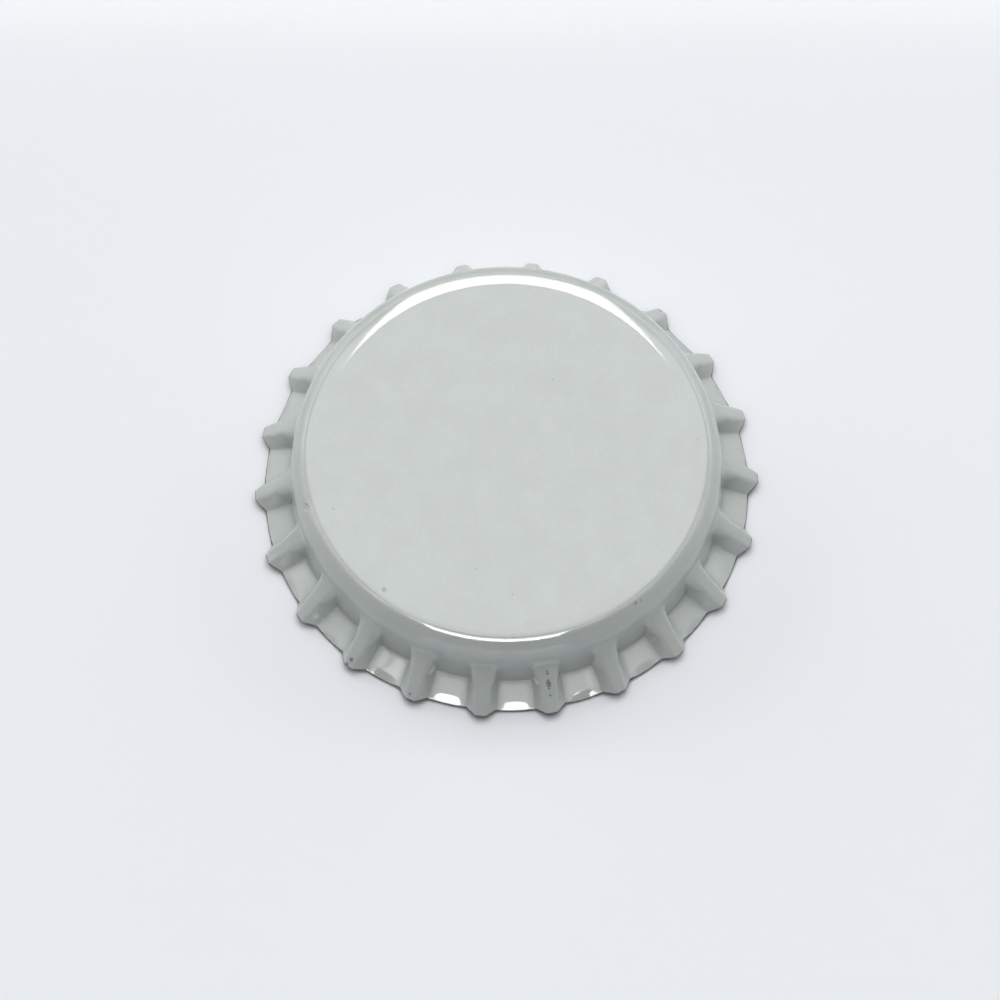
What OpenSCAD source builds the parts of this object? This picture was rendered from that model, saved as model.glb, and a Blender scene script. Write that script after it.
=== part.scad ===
// Crown bottle cap: one pressed sheet-steel shell with a moulded sealing liner.
// Millimetres, +Z up. The cap stands on its rim, with the origin under the middle of the top panel,
// and the first flute points along +X.

/* [Shell] */
// Overall height, from the rim's lowest edge to the top panel
cap_height = 6; // [5.8:0.05:6.6]
// Diameter over the tips of the flutes
tip_diameter = 32.1; // [31.8:0.05:32.6]
// Inside diameter of the round wall, which goes over the bottle's mouth
seat_diameter = 26.75; // [26.6:0.05:26.9]
// Thickness of the steel sheet
sheet_thickness = 0.24; // [0.2:0.01:0.28]
// How far the shoulder reaches inwards from the wall, to the edge of the flat top panel
shoulder_width = 1.2; // [1.1:0.05:1.4]
// How far the shoulder reaches down from the top panel to the plain wall
shoulder_height = 2.1; // [1.9:0.05:2.3]
// Height of the plain round wall between the shoulder and the flutes
plain_wall_height = 0.3; // [0.2:0.05:0.5]

/* [Flutes] */
// Number of flutes round the rim
flute_count = 22; // [20:1:23]
// Height of a flute's tip above the lowest edge
tip_height = 0.65; // [0.45:0.05:0.8]
// Radius of the bend where a flute leaves the wall
flute_bend_radius = 0.9; // [0.6:0.05:1.2]
// Width of a flute's flat back
flute_back_width = 0.55; // [0.5:0.05:0.7]
// Width of each side of a flute
flute_side_width = 0.82; // [0.8:0.01:0.88]
// Slope of each side of a flute, from level
flute_side_slope = 68; // [66:1:74]
// Share of a side's width that rounds its upper edge, the rest rounding its foot
upper_edge_share = 0.65; // [0.55:0.05:0.7]
// Width of the blunt tip at the cut edge
tip_width = 0.56; // [0.5:0.02:0.7]
// Width of each side of a tip at the cut edge
tip_side_width = 0.8; // [0.75:0.05:0.9]
// Slope of each side of a tip at the cut edge, from level
tip_side_slope = 53; // [50:1:60]

/* [Rim] */
// Diameter over the cut edge between two flutes
valley_diameter = 30.84; // [30.5:0.05:31.1]
// Slope of the rim at its cut edge, from level
lip_slope = 48; // [44:1:52]
// Radius of the rim's downward curl
lip_radius = 2.5; // [2.2:0.05:2.7]
// Diameter at the crease between the wall and the land, between two flutes
crease_diameter = 27.46; // [27.4:0.02:27.6]
// Height of that crease above the lowest edge
crease_height = 1.3; // [1.15:0.05:1.4]
// Radius of that crease
crease_radius = 0.15; // [0.12:0.01:0.3]

/* [Sealing liner] */
// Diameter of the liner
liner_diameter = 25.1; // [24.6:0.1:25.4]
// Thickness of the liner's middle
web_thickness = 0.35; // [0.25:0.05:0.5]
// Thickness of the sealing bead at the liner's edge
bead_thickness = 0.95; // [0.8:0.05:1.1]
// Radial width of the sealing bead
bead_width = 2; // [1.6:0.1:2.4]
// Radius on the bead's lower corners
bead_radius = 0.35; // [0.25:0.05:0.4]
// Gap between the bead and the curve of the shoulder
bond_gap = 0.03; // [0.02:0.01:0.05]

/* [Hidden] */

$fn = 180;

seat_radius = seat_diameter / 2;
wall_radius = seat_radius + sheet_thickness;
tip_radius = tip_diameter / 2;
valley_radius = valley_diameter / 2;
panel_underside = cap_height - sheet_thickness;
wall_foot = cap_height - shoulder_height - plain_wall_height;
pitch = 360 / flute_count;

// The shoulder is two arcs outside: a tight corner that turns down to this slope, then a slower one that
// turns on to the wall. Their radii follow from the shoulder's width and height.
corner_slope = 60;
corner_drop = 1 - cos(corner_slope);
side_reach = 1 - sin(corner_slope);
arc_scale = 1 - corner_drop - side_reach;
corner_radius = (shoulder_width * (1 - corner_drop) - shoulder_height * side_reach) / arc_scale;
side_radius = (shoulder_height * (1 - side_reach) - shoulder_width * corner_drop) / arc_scale;
corner_centre = [wall_radius - shoulder_width, cap_height - corner_radius];
side_centre = [wall_radius - side_radius, cap_height - shoulder_height];

// The skirt's upper edge is let into the plain wall by this much and is thinner there on each side. At the
// wall's foot it stands proud by a hair, so that the two surfaces cross cleanly.
joint_lap = 0.06;
joint_inset = 0.02;
joint_step = 0.01;

// ---- Section of the land between two flutes, followed down its outside from the plain wall ----
// A drafted wall, the crease, a straight land and the curl of the lip follow each other smoothly. Slopes
// are measured down from level, so a slope of 90 is straight down.
wall_top = [wall_radius, wall_foot];
crease_corner = [crease_diameter / 2, crease_height];
lip_end = [valley_radius, sheet_thickness * cos(lip_slope)];
lip_centre = lip_end - lip_radius * outward(lip_slope);

wall_slope = slope_between(wall_top, crease_corner);
lip_reach = norm(lip_centre - crease_corner);
land_slope = slope_between(crease_corner, lip_centre) - asin(lip_radius / lip_reach);
crease_tangent = crease_radius * tan((wall_slope - land_slope) / 2);

wall_length = norm(crease_corner - wall_top) - crease_tangent;
crease_start = wall_top + wall_length * along(wall_slope);
land_length = sqrt(pow(lip_reach, 2) - pow(lip_radius, 2)) - crease_tangent;
land_start = crease_corner + crease_tangent * along(land_slope);

crease_run = wall_length + arc_length(crease_radius, wall_slope - land_slope);
land_run = crease_run + land_length;
valley_run = land_run + arc_length(lip_radius, lip_slope - land_slope);

// ---- Section along a flute's back: a bend out of the wall, then a straight run to the tip ----
flute_end = [tip_radius, tip_height];
bend_centre = wall_top + flute_bend_radius * outward(90);
flute_reach = norm(flute_end - bend_centre);
flute_slope = slope_between(bend_centre, flute_end) - asin(flute_bend_radius / flute_reach);
bend_run = arc_length(flute_bend_radius, 90 - flute_slope);
flute_run = bend_run + sqrt(pow(flute_reach, 2) - pow(flute_bend_radius, 2));

// From this share of the way down, a flute's sides spread into the tip.
tip_spread_start = 0.65;

// Shares of the way down at which the skirt has a ring of points.
rings = [
    0.5 * bend_run / flute_run,
    bend_run / flute_run,
    (bend_run / flute_run + wall_length / valley_run) / 2,
    wall_length / valley_run,
    (wall_length + crease_run) / 2 / valley_run,
    crease_run / valley_run,
    land_run / valley_run,
    (land_run / valley_run + 1) / 2,
    1
];

// Steps across half a pitch: the middle of a flute's back, the points of its side, the middle of the land.
side_steps = 4;
half_steps = side_steps + 2;

// Where a side has a straight wall, the arc at each end of it takes this share of its points. The wall is
// steeper than the line from back to land by at least this share of what that line lacks of upright.
side_arc_share = 0.4;
least_wall_share = 0.12;

// Step for measuring how the surface runs at a point.
probe = 0.001;

function along(slope) = [cos(slope), -sin(slope)];
function outward(slope) = [sin(slope), cos(slope)];
function slope_between(a, b) = atan2(a[1] - b[1], b[0] - a[0]);
function arc_length(radius, angle) = radius * angle * PI / 180;
function arc_angle(radius, length) = length / radius * 180 / PI;
function mix(a, b, share) = a + (b - a) * share;
function smooth_share(x) = let (t = min(max(x, 0), 1)) t * t * (3 - 2 * t);

// [radius, height] at a share s of the way down the land's section.
function valley_point(s) =
    let (run = s * valley_run)
    run <= wall_length ? wall_top + run * along(wall_slope) :
    run <= crease_run ?
        let (slope = wall_slope - arc_angle(crease_radius, run - wall_length))
        crease_start + crease_radius * (outward(wall_slope) - outward(slope)) :
    run <= land_run ? land_start + (run - crease_run) * along(land_slope) :
        let (slope = land_slope + arc_angle(lip_radius, run - land_run))
        lip_centre + lip_radius * outward(slope);

// [radius, height] at a share s of the way down a flute's back.
function flute_point(s) =
    let (run = s * flute_run)
    run <= bend_run ?
        bend_centre - flute_bend_radius * outward(90 - arc_angle(flute_bend_radius, run)) :
        flute_end - (flute_run - run) * along(flute_slope);

// [sideways, share of the flute's rise] at t, from 0 at the back's edge to 1 at the land. Two arcs turn
// the side down and out again, with a straight wall at the given slope between them where there is room.
function side_point(t, width, rise, slope) =
    let (
        lean = atan(rise / width),
        turn = min(max(slope, mix(lean, 90, least_wall_share)), 2 * lean),
        arc_share = turn < 2 * lean ? side_arc_share : 0.5,
        radius = (width * sin(turn) - rise * cos(turn)) / (1 - cos(turn)),
        upper = radius * upper_edge_share,
        lower = radius - upper,
        upper_end = [upper * sin(turn), 1 - upper * (1 - cos(turn)) / rise],
        lower_end = [width - lower * sin(turn), lower * (1 - cos(turn)) / rise],
        upper_angle = turn * t / arc_share,
        lower_angle = turn * (1 - t) / arc_share
    )
    t <= arc_share ? [upper * sin(upper_angle), 1 - upper * (1 - cos(upper_angle)) / rise] :
    t >= 1 - arc_share ? [width - lower * sin(lower_angle), lower * (1 - cos(lower_angle)) / rise] :
        mix(upper_end, lower_end, (t - arc_share) / (1 - 2 * arc_share));

// A point of the skirt's outer surface, s of the way down. u runs from 0 at the middle of a flute's back,
// over its edge at 1 and its foot at half_steps - 1, to the middle of the land at half_steps.
function skirt_point(s, u) =
    let (
        valley = valley_point(s),
        flute = flute_point(s),
        spread = smooth_share((s - tip_spread_start) / (1 - tip_spread_start)),
        half_back = mix(flute_back_width, tip_width, spread) / 2,
        width = mix(flute_side_width, tip_side_width, spread),
        slope = mix(flute_side_slope, tip_side_slope, spread),
        side = side_point((u - 1) / side_steps, width, norm(flute - valley), slope),
        foot_angle = arc_angle(flute[0], half_back + width),
        angle =
            u <= 1 ? arc_angle(flute[0], u * half_back) :
            u <= half_steps - 1 ? arc_angle(flute[0], half_back + side[0]) :
            mix(foot_angle, pitch / 2, u - half_steps + 1),
        share = u <= 1 ? 1 : u <= half_steps - 1 ? side[1] : 0,
        place = mix(valley, flute, share)
    )
    [place[0] * cos(angle), place[0] * sin(angle), place[1]];

// The same point on the inner surface: one sheet thickness further in, square to the sheet.
function inner_skirt_point(s, u) =
    let (
        down = skirt_point(s + probe, u) - skirt_point(s - probe, u),
        across = skirt_point(s, u + probe) - skirt_point(s, u - probe),
        inward = cross(across, down)
    )
    skirt_point(s, u) + sheet_thickness * inward / norm(inward);

function turned(p, angle) =
    [p[0] * cos(angle) - p[1] * sin(angle), p[0] * sin(angle) + p[1] * cos(angle), p[2]];

// Columns round the whole skirt: each flute has half_steps on one side of its middle, then the other.
columns = flute_count * 2 * half_steps;

function column_step(j) =
    let (c = j % (2 * half_steps))
    c <= half_steps ? c : 2 * half_steps - c;

// Places the half-flute's point for a column, mirrored on the side that leads up to the next flute.
function placed(half_ring, j) =
    let (
        c = j % (2 * half_steps),
        flute_angle = floor(j / (2 * half_steps)) * pitch,
        p = half_ring[column_step(j)]
    )
    c <= half_steps ? turned(p, flute_angle) : turned([p[0], -p[1], p[2]], flute_angle + pitch);

// The half-flute's points on one ring, and those of the joint with the plain wall.
outer_half_rings = [for (s = rings) [for (u = [0:half_steps]) skirt_point(s, u)]];
inner_half_rings = [for (s = rings) [for (u = [0:half_steps]) inner_skirt_point(s, u)]];

function joint_half_ring(radius, height) = [
    for (p = outer_half_rings[0])
        let (angle = atan2(p[1], p[0]))
        [radius * cos(angle), radius * sin(angle), height]
];

// All rings in one closed loop: down the outside, round the cut edge and up the inside.
skirt_rings = concat(
    [joint_half_ring(wall_radius - joint_inset, wall_foot + joint_lap)],
    [joint_half_ring(wall_radius + joint_step, wall_foot)],
    outer_half_rings,
    [for (i = [len(rings) - 1:-1:0]) inner_half_rings[i]],
    [joint_half_ring(seat_radius - joint_step, wall_foot)],
    [joint_half_ring(seat_radius + joint_inset, wall_foot + joint_lap)]
);

// Solid half section of the cap's round part down to foot, set in from the outside by inset.
module plug_section(inset, foot) {
    radius = wall_radius - inset;
    wedge_length = 2 * corner_radius;
    difference() {
        intersection() {
            translate([0, foot]) square([radius, cap_height - inset - foot]);
            union() {
                translate([0, foot]) square([radius, side_centre[1] - foot]);
                translate([0, foot]) square([side_centre[0], cap_height - foot]);
                translate(side_centre) circle(side_radius - inset);
            }
        }
        difference() {
            translate(corner_centre)
                polygon([[0, 0], wedge_length * outward(0), wedge_length * outward(corner_slope)]);
            translate(corner_centre) circle(corner_radius - inset);
        }
    }
}

// Top panel, shoulder and plain wall, turned about the cap's axis.
module round_part() {
    cut_clearance = 1;
    rotate_extrude()
        difference() {
            plug_section(0, wall_foot);
            plug_section(sheet_thickness, wall_foot - cut_clearance);
        }
}

// The fluted skirt as one closed shell of triangles, whose diagonals mirror about each flute's middle.
module skirt() {
    loops = len(skirt_rings);
    points = [for (ring = skirt_rings) for (j = [0:columns - 1]) placed(ring, j)];
    faces = [
        for (i = [0:loops - 1])
            for (j = [0:columns - 1])
                let (
                    a = i * columns + j,
                    b = i * columns + (j + 1) % columns,
                    c = (i + 1) % loops * columns + (j + 1) % columns,
                    d = (i + 1) % loops * columns + j
                )
                each (j % (2 * half_steps) < half_steps ? [[a, b, c], [a, c, d]] : [[a, b, d], [b, c, d]])
    ];
    polyhedron(points, faces);
}

module crown_shell() {
    color([0.79, 0.82, 0.8])
        union() {
            round_part();
            skirt();
        }
}

// Disc with a thicker sealing bead round its edge, moulded against the top panel and the shoulder.
module liner_section() {
    liner_radius = liner_diameter / 2;
    bead_start = liner_radius - bead_width;
    translate([0, panel_underside - web_thickness])
        square([bead_start + bead_radius, web_thickness]);
    translate([bead_start, panel_underside - bead_thickness + bead_radius])
        square([bead_width, bead_thickness - bead_radius]);
    translate([bead_start + bead_radius, panel_underside - bead_thickness])
        square([bead_width - 2 * bead_radius, bead_thickness]);
    for (x = [bead_start + bead_radius, liner_radius - bead_radius])
        translate([x, panel_underside - bead_thickness + bead_radius]) circle(bead_radius);
}

module sealing_liner() {
    color([0.9, 0.89, 0.85])
        rotate_extrude()
            intersection() {
                translate([-bond_gap, 0]) plug_section(sheet_thickness, wall_foot);
                liner_section();
            }
}

crown_shell();
sealing_liner();
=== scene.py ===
"""Looks of a crown bottle cap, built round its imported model.

The cap has two pieces: a pressed steel shell, enamelled outside and lacquered inside, and a sealing liner
moulded into it. All lengths are in metres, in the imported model's own frame: +Z points up along the cap's
axis, the rim stands on z = 0 and the middle of the first flute lies on +X.
"""

import logging
import math
from collections.abc import Iterator
from dataclasses import dataclass
from enum import Enum, IntEnum
from typing import Any

import bpy
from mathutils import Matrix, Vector


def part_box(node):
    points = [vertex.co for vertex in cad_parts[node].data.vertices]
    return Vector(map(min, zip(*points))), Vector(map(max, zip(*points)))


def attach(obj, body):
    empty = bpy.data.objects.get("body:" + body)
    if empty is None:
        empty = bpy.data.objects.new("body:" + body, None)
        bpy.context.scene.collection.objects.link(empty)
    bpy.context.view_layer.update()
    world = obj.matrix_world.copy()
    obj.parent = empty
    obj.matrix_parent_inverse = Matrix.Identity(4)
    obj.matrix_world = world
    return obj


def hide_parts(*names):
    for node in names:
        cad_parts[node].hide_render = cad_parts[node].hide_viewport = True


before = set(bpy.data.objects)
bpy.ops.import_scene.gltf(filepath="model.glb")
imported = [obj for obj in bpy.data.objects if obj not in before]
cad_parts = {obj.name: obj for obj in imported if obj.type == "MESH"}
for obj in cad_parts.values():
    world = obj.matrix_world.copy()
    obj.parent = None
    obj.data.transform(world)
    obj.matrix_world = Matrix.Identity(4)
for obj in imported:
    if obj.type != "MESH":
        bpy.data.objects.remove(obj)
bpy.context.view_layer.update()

MM = 0.001
TURN = 2 * math.pi
BODY = "root"

Colour = tuple[float, float, float]
Socket = bpy.types.NodeSocket

log = logging.getLogger("bottle_cap")


class SheetSide(IntEnum):
    """Faces of the pressed sheet, each with a finish of its own."""

    OUTSIDE = 0
    CUT_EDGE = 1
    INSIDE = 2


class LampUse(Enum):
    """What a lamp is seen by: every surface, or only reflections, as a card held up for its gloss."""

    ALL_LIGHT = "all light"
    GLOSS_ONLY = "gloss only"


# ---- Node trees ----


class NodeBoard:
    """A node tree that is filled one node at a time, laid out from left to right."""

    def __init__(self, tree: bpy.types.NodeTree) -> None:
        """Starts on an empty tree.

        Args:
            tree: The shader or geometry tree to fill.
        """
        tree.nodes.clear()
        self.tree = tree
        self.column_width = 190

    def add(self, kind: str, inputs: dict[str | int, Any] | None = None, **settings: Any) -> bpy.types.Node:
        """Adds a node.

        Args:
            kind: Blender's name of the node's type.
            inputs: Values or sockets for the node's inputs, by name or by index.
            **settings: Values for the node's own properties.

        Returns:
            The new node.
        """
        node = self.tree.nodes.new(kind)
        node.location.x = len(self.tree.nodes) * self.column_width
        for name, value in settings.items():
            setattr(node, name, value)
        for key, value in (inputs or {}).items():
            self.feed(node.inputs[key], value)
        return node

    def feed(self, socket: Socket, value: Any) -> None:
        """Links an input to another node's output, or sets it to a plain value.

        Args:
            socket: The input.
            value: The output or the value.
        """
        if isinstance(value, Socket):
            self.tree.links.new(value, socket)
        else:
            socket.default_value = value

    def math(self, operation: str, *values: Any) -> Socket:
        """Adds a maths node on numbers or sockets, and returns the result's socket."""
        return self.add("ShaderNodeMath", dict(enumerate(values)), operation=operation).outputs[0]

    def vector(self, operation: str, *values: Any, output: str = "Vector") -> Socket:
        """Adds a vector maths node, and returns its "Vector" or its "Value" output."""
        node = self.add("ShaderNodeVectorMath", dict(enumerate(values)), operation=operation)
        return node.outputs[output]

    def ramp(self, value: Socket, start: float, end: float) -> Socket:
        """Eases smoothly from 0 where a value is at its start to 1 at its end, and returns the socket."""
        inputs = {"Value": value, "From Min": start, "From Max": end}
        return self.add("ShaderNodeMapRange", inputs, interpolation_type="SMOOTHSTEP").outputs["Result"]

    def noise(self, place: Socket, grain: float, detail: float = 3.0, roughness: float = 0.5) -> Socket:
        """Adds soft noise about 0.5, with blotches as big as the grain, and returns its socket."""
        inputs = {"Vector": place, "Scale": 1 / grain, "Detail": detail, "Roughness": roughness}
        return self.add("ShaderNodeTexNoise", inputs).outputs[0]

    def blend(self, share: Any, first: Any, second: Any) -> Socket:
        """Mixes two colours by the share of the second, and returns the mixed colour's socket."""
        values = [(*value, 1.0) if isinstance(value, tuple) else value for value in (share, first, second)]
        return self.add("ShaderNodeMix", dict(zip((0, 6, 7), values)), data_type="RGBA").outputs[2]

    def level(self, share: Any, first: float, second: float) -> Socket:
        """Mixes two plain numbers, by a share between 0 and 1, and returns the result's socket."""
        return self.math("MULTIPLY_ADD", share, second - first, first)

    def layer(self, name: str, kind: str) -> Socket:
        """Reads a number that a mesh carries, in a geometry tree, and returns its socket."""
        return self.add("GeometryNodeInputNamedAttribute", {"Name": name}, data_type=kind).outputs[0]


class ShaderBoard(NodeBoard):
    """The tree of a new material, with its surface shader in place."""

    def __init__(self, name: str) -> None:
        """Makes the material.

        Args:
            name: The material's name.
        """
        self.material = bpy.data.materials.new(name)
        self.material.use_nodes = True
        super().__init__(self.material.node_tree)
        self.shader = self.add("ShaderNodeBsdfPrincipled")
        self.add("ShaderNodeOutputMaterial", {"Surface": self.shader.outputs[0]})
        self.place = self.add("ShaderNodeTexCoord").outputs["Object"]

    def surface(self, **inputs: Any) -> None:
        """Sets inputs of the surface shader, each named as the shader names it, with _ for a space."""
        for name, value in inputs.items():
            self.feed(self.shader.inputs[name.replace("_", " ")], value)

    def relief(self, *heights: tuple[Socket, float]) -> None:
        """Gives the surface its fine relief.

        Args:
            *heights: Pairs of a height from 0 to 1 and what a height of 1 is in metres.
        """
        total = None
        for height, depth in heights:
            scaled = self.math("MULTIPLY", height, depth)
            total = scaled if total is None else self.math("ADD", total, scaled)
        bump = self.add("ShaderNodeBump", {"Strength": 1.0, "Distance": 1.0, "Height": total})
        self.surface(Normal=bump.outputs[0])

    def attribute(self, name: str) -> Socket:
        """Reads a number that the mesh carries at each point, and returns its socket."""
        return self.add("ShaderNodeAttribute", attribute_name=name).outputs["Fac"]

    def near(self, spot: Vector, radius: float, wobble: Socket) -> Socket:
        """Masks a small ball round a spot.

        Args:
            spot: The ball's middle.
            radius: Its radius.
            wobble: Noise that makes its outline uneven.

        Returns:
            A mask that is 1 inside and falls to 0 just outside.
        """
        distance = self.vector("DISTANCE", self.place, tuple(spot), output="Value")
        uneven = self.math("MULTIPLY", distance, self.level(wobble, 0.4, 1.6))
        return self.ramp(uneven, radius * 1.25, radius * 0.6)

    def union(self, masks: list[Socket]) -> Socket:
        """Joins masks.

        Args:
            masks: The masks.

        Returns:
            The socket of the strongest one at each place.
        """
        joined = masks[0]
        for mask in masks[1:]:
            joined = self.math("MAXIMUM", joined, mask)
        return joined


# ---- Finishes ----


@dataclass(frozen=True)
class Mark:
    """A small dark speck or a shallow pit in the enamel, more or less strong."""

    spot: Vector
    radius: float
    strength: float


@dataclass(frozen=True)
class Enamel:
    """Glossy grey-green enamel on the outside, which ends a little before the cut edge in a band of bare
    steel whose dark colour is partly painted shade.

    A dot of dust is sized in shares of the dust's spacing. The creases round the lands are darkened with
    painted shade.
    """

    specks: list[Mark]
    pits: list[Mark]
    colour: Colour = (0.52, 0.556, 0.533)
    cloud_colour: Colour = (0.497, 0.531, 0.512)
    speck_and_shade_colour: Colour = (0.06, 0.059, 0.057)
    # Bare steel at the cut edge, made very dark partly as the steel's own colour and partly as painted
    # shade for the gap under the rim.
    bare_steel_and_shade_colour: Colour = (0.07, 0.07, 0.072)
    # Share of painted shade that darkens the enamel in the creases round the lands.
    crease_painted_shade: float = 0.1
    roughness: float = 0.05
    bare_roughness: float = 0.32
    specular: float = 0.5
    crease_specular: float = 0.06
    bare_width: float = 0.09 * MM
    bare_blur: float = 0.02 * MM
    bare_swing: float = 0.05 * MM
    paint_depth: float = 0.006 * MM
    peel_depth: float = 0.0005 * MM
    pit_depth: float = 0.07 * MM
    dust_spacing: float = 1.1 * MM
    dust_radius: float = 0.075
    dust_core: float = 0.04
    dust_gap_share: float = 0.8
    dust_strength: float = 0.35

    def make(self) -> bpy.types.Material:
        """Builds the material.

        Returns:
            The material.
        """
        board = ShaderBoard("grey_green_enamel")
        clouds = board.noise(board.place, 1.8 * MM, detail=4.0)
        grain = board.noise(board.place, 0.22 * MM, detail=2.0)
        ragged = board.noise(board.place, 0.3 * MM, detail=3.0)
        peel = board.noise(board.place, 0.9 * MM, detail=1.0)
        tint = board.math("ADD", board.math("MULTIPLY", clouds, 0.65), board.math("MULTIPLY", grain, 0.35))
        paint = board.blend(board.ramp(tint, 0.38, 0.62), self.colour, self.cloud_colour)

        specks = [self.speck(board, mark, ragged) for mark in self.specks]
        crease = board.attribute("crease")
        # Painted shade: the enamel is darkened towards the speck colour in the creases round each land,
        # where shade falls.
        paint = board.blend(board.math("MULTIPLY", crease, self.crease_painted_shade), paint, self.speck_and_shade_colour)
        paint = board.blend(board.union([*specks, self.dust(board)]), paint, self.speck_and_shade_colour)

        swing = board.level(ragged, -self.bare_swing, self.bare_swing)
        edge = board.math("ADD", board.attribute("rim_distance"), swing)
        bare = board.ramp(edge, self.bare_width + self.bare_blur, self.bare_width - self.bare_blur)
        roughness = board.level(bare, self.roughness, self.bare_roughness)
        specular = board.level(crease, self.specular, self.crease_specular)
        # The bare band's dark colour is partly the steel's own and partly painted shade standing for the
        # shadow under the rim.
        board.surface(Base_Color=board.blend(bare, paint, self.bare_steel_and_shade_colour), Metallic=bare)
        board.surface(Roughness=roughness, IOR=1.5, Specular_IOR_Level=specular)

        heights = [(peel, self.peel_depth), (grain, self.peel_depth * 0.15), (bare, -self.paint_depth)]
        heights += [(self.speck(board, mark, ragged), -self.pit_depth) for mark in self.pits]
        board.relief(*heights)
        return board.material

    def speck(self, board: ShaderBoard, mark: Mark, ragged: Socket) -> Socket:
        """Returns a ragged mask of one speck or pit, as strong as the mark in its middle."""
        return board.math("MULTIPLY", board.near(mark.spot, mark.radius, ragged), mark.strength)

    def dust(self, board: ShaderBoard) -> Socket:
        """Scatters a few dots of dust that were baked into the enamel.

        Args:
            board: The material's board.

        Returns:
            A mask of the dots.
        """
        inputs = {"Vector": board.place, "Scale": 1 / self.dust_spacing}
        cells = board.add("ShaderNodeTexVoronoi", inputs).outputs
        dot = board.ramp(cells["Distance"], self.dust_radius, self.dust_core)
        draw = board.add("ShaderNodeSeparateColor", {0: cells["Color"]}).outputs[0]
        chosen = board.ramp(draw, self.dust_gap_share, self.dust_gap_share + 0.05)
        return board.math("MULTIPLY", board.math("MULTIPLY", dot, chosen), self.dust_strength)


@dataclass(frozen=True)
class ShearedSteel:
    """Bare steel of the cut edge: dull, dark and lightly torn across the sheet."""

    colour: Colour = (0.1, 0.1, 0.104)
    worn_colour: Colour = (0.2, 0.196, 0.19)

    def make(self) -> bpy.types.Material:
        """Builds the material.

        Returns:
            The material.
        """
        board = ShaderBoard("sheared_steel")
        patches = board.noise(board.place, 0.5 * MM)
        tears = board.noise(board.place, 0.05 * MM, detail=4.0, roughness=0.7)
        colour = board.blend(board.ramp(patches, 0.45, 0.7), self.colour, self.worn_colour)
        board.surface(Base_Color=colour, Metallic=0.7, Roughness=board.level(tears, 0.35, 0.6))
        board.relief((tears, 0.008 * MM))
        return board.material


@dataclass(frozen=True)
class LacqueredSteel:
    """Bright rolled steel of the inside under clear lacquer, with fine rolling lines along X."""

    colour: Colour = (0.56, 0.56, 0.55)
    dull_colour: Colour = (0.46, 0.46, 0.455)
    rolling_stretch: float = 40.0

    def make(self) -> bpy.types.Material:
        """Builds the material.

        Returns:
            The material.
        """
        board = ShaderBoard("lacquered_steel")
        stretched = board.vector("MULTIPLY", board.place, (1 / self.rolling_stretch, 1.0, 1.0))
        lines = board.noise(stretched, 0.06 * MM, detail=3.0)
        clouds = board.noise(board.place, 2.5 * MM)
        shade = board.math("ADD", board.math("MULTIPLY", lines, 0.6), board.math("MULTIPLY", clouds, 0.4))
        colour = board.blend(board.ramp(shade, 0.35, 0.65), self.colour, self.dull_colour)
        board.surface(Base_Color=colour, Metallic=1.0, Roughness=board.level(lines, 0.24, 0.42))
        board.surface(Coat_Weight=0.6, Coat_Roughness=0.1)
        board.relief((lines, 0.0012 * MM), (clouds, 0.002 * MM))
        return board.material


@dataclass(frozen=True)
class LinerPolymer:
    """Soft off-white polymer, with the faint rings that the moulding punch leaves."""

    colour: Colour = (0.74, 0.725, 0.67)
    shade_colour: Colour = (0.68, 0.66, 0.6)
    ring_pitch: float = 0.35 * MM

    def make(self) -> bpy.types.Material:
        """Builds the material.

        Returns:
            The material.
        """
        board = ShaderBoard("liner_polymer")
        flat = board.vector("MULTIPLY", board.place, (1.0, 1.0, 0.0))
        reach = board.vector("LENGTH", flat, output="Value")
        wave = board.math("SINE", board.math("MULTIPLY", reach, TURN / self.ring_pitch))
        rings = board.level(wave, 0.5, 1.0)
        clouds = board.noise(board.place, 1.5 * MM)
        grain = board.noise(board.place, 0.08 * MM)
        colour = board.blend(board.ramp(clouds, 0.35, 0.65), self.colour, self.shade_colour)
        board.surface(Base_Color=colour, Roughness=board.level(grain, 0.34, 0.5), IOR=1.46)
        board.surface(Subsurface_Weight=0.25, Subsurface_Scale=0.3 * MM)
        board.relief((rings, 0.0006 * MM), (grain, 0.002 * MM), (clouds, 0.01 * MM))
        return board.material


@dataclass(frozen=True)
class TableTop:
    """Pale, slightly glossy laminate of the table."""

    colour: Colour = (0.822, 0.837, 0.867)
    cloud_shade: float = 0.985
    roughness: float = 0.05

    def make(self) -> bpy.types.Material:
        """Builds the material.

        Returns:
            The material.
        """
        board = ShaderBoard("table_laminate")
        clouds = board.noise(board.place, 60 * MM)
        cloud_colour = tuple(self.cloud_shade * value for value in self.colour)
        colour = board.blend(board.ramp(clouds, 0.3, 0.7), self.colour, cloud_colour)
        board.surface(Base_Color=colour, Roughness=self.roughness, IOR=1.45, Specular_IOR_Level=0.15)
        return board.material


# ---- Geometry ----


def along(slope: float) -> Vector:
    """Returns the unit direction, as (outwards, up), that falls away at a slope below level."""
    return Vector((math.cos(slope), -math.sin(slope)))


def outward(slope: float) -> Vector:
    """Returns the unit direction, as (outwards, up), square to a surface that falls away at a slope."""
    return Vector((math.sin(slope), math.cos(slope)))


def in_space(radius: float, height: float, angle: float) -> Vector:
    """Returns the point in space at a radius, a height and an angle about the cap's axis."""
    return Vector((radius * math.cos(angle), radius * math.sin(angle), height))


def slope_between(first: Vector, second: Vector) -> float:
    """Returns the slope below level from the first (radius, height) point out to the second."""
    return math.atan2(first.y - second.y, second.x - first.x)


def smooth_share(value: float) -> float:
    """Returns a value held between 0 and 1 and eased at both ends."""
    held = min(max(value, 0.0), 1.0)
    return held * held * (3 - 2 * held)


def steps(start: float, end: float, count: int) -> Iterator[float]:
    """Yields a count of evenly spaced values after start, up to and including end."""
    for step in range(1, count + 1):
        yield start + (end - start) * step / count


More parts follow.
